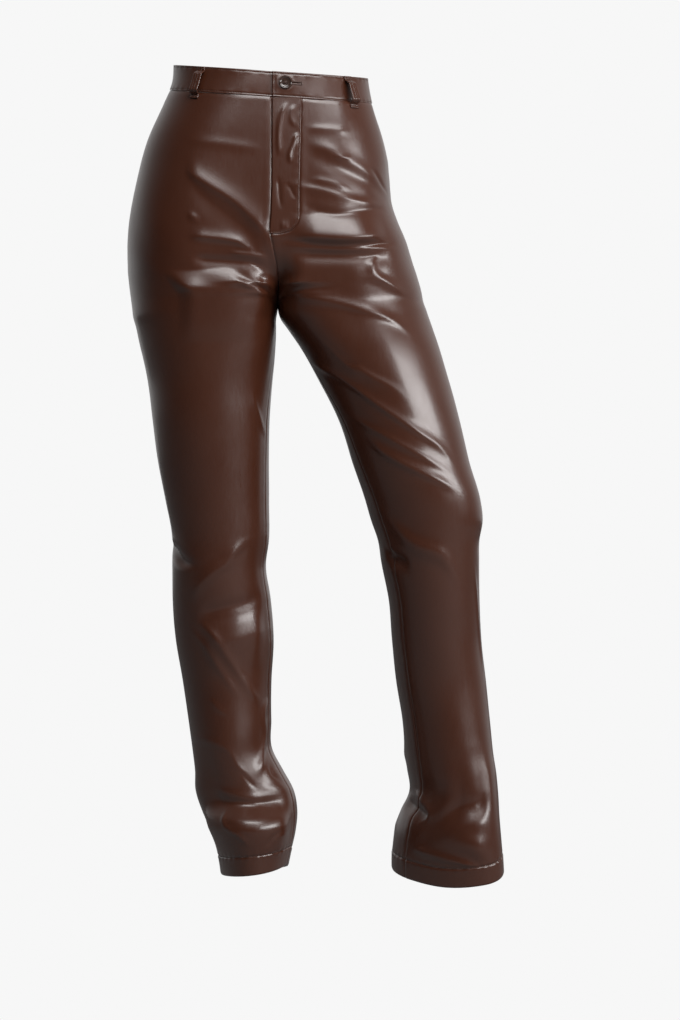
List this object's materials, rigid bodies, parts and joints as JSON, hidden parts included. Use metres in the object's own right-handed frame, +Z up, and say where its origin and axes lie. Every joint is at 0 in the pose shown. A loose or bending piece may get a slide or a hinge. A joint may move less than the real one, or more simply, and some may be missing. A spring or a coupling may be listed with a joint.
{
  "type": "faux leather trousers",
  "caption": "Dark brown faux leather trousers, high waist and straight legs, with a buttoned fly front and belt loops, in a worn, open stance with one leg stepped out",
  "frame": {"origin": "the middle of the waistband ring at half its height, where a wearer holds the trousers", "axes": "+Z up, the front faces -Y, +X is the wearer's left"},
  "size_m": [0.5035, 0.2343, 1.1041],
  "materials": {
    "faux_leather": "smooth and glossy",
    "button": "polished",
    "zip_tape": "matt weave"
  },
  "bodies": {
    "root": {"front_left": "faux_leather", "front_right": "faux_leather", "back_left": "faux_leather", "back_right": "faux_leather", "waistband": "faux_leather", "fly_placket": "faux_leather", "belt_loop_front_left": "faux_leather", "belt_loop_front_right": "faux_leather", "belt_loop_back_left": "faux_leather", "belt_loop_back_right": "faux_leather", "belt_loop_back_centre": "faux_leather", "button": "button", "fly_zip": "zip_tape"}
  },
  "joints": []
}
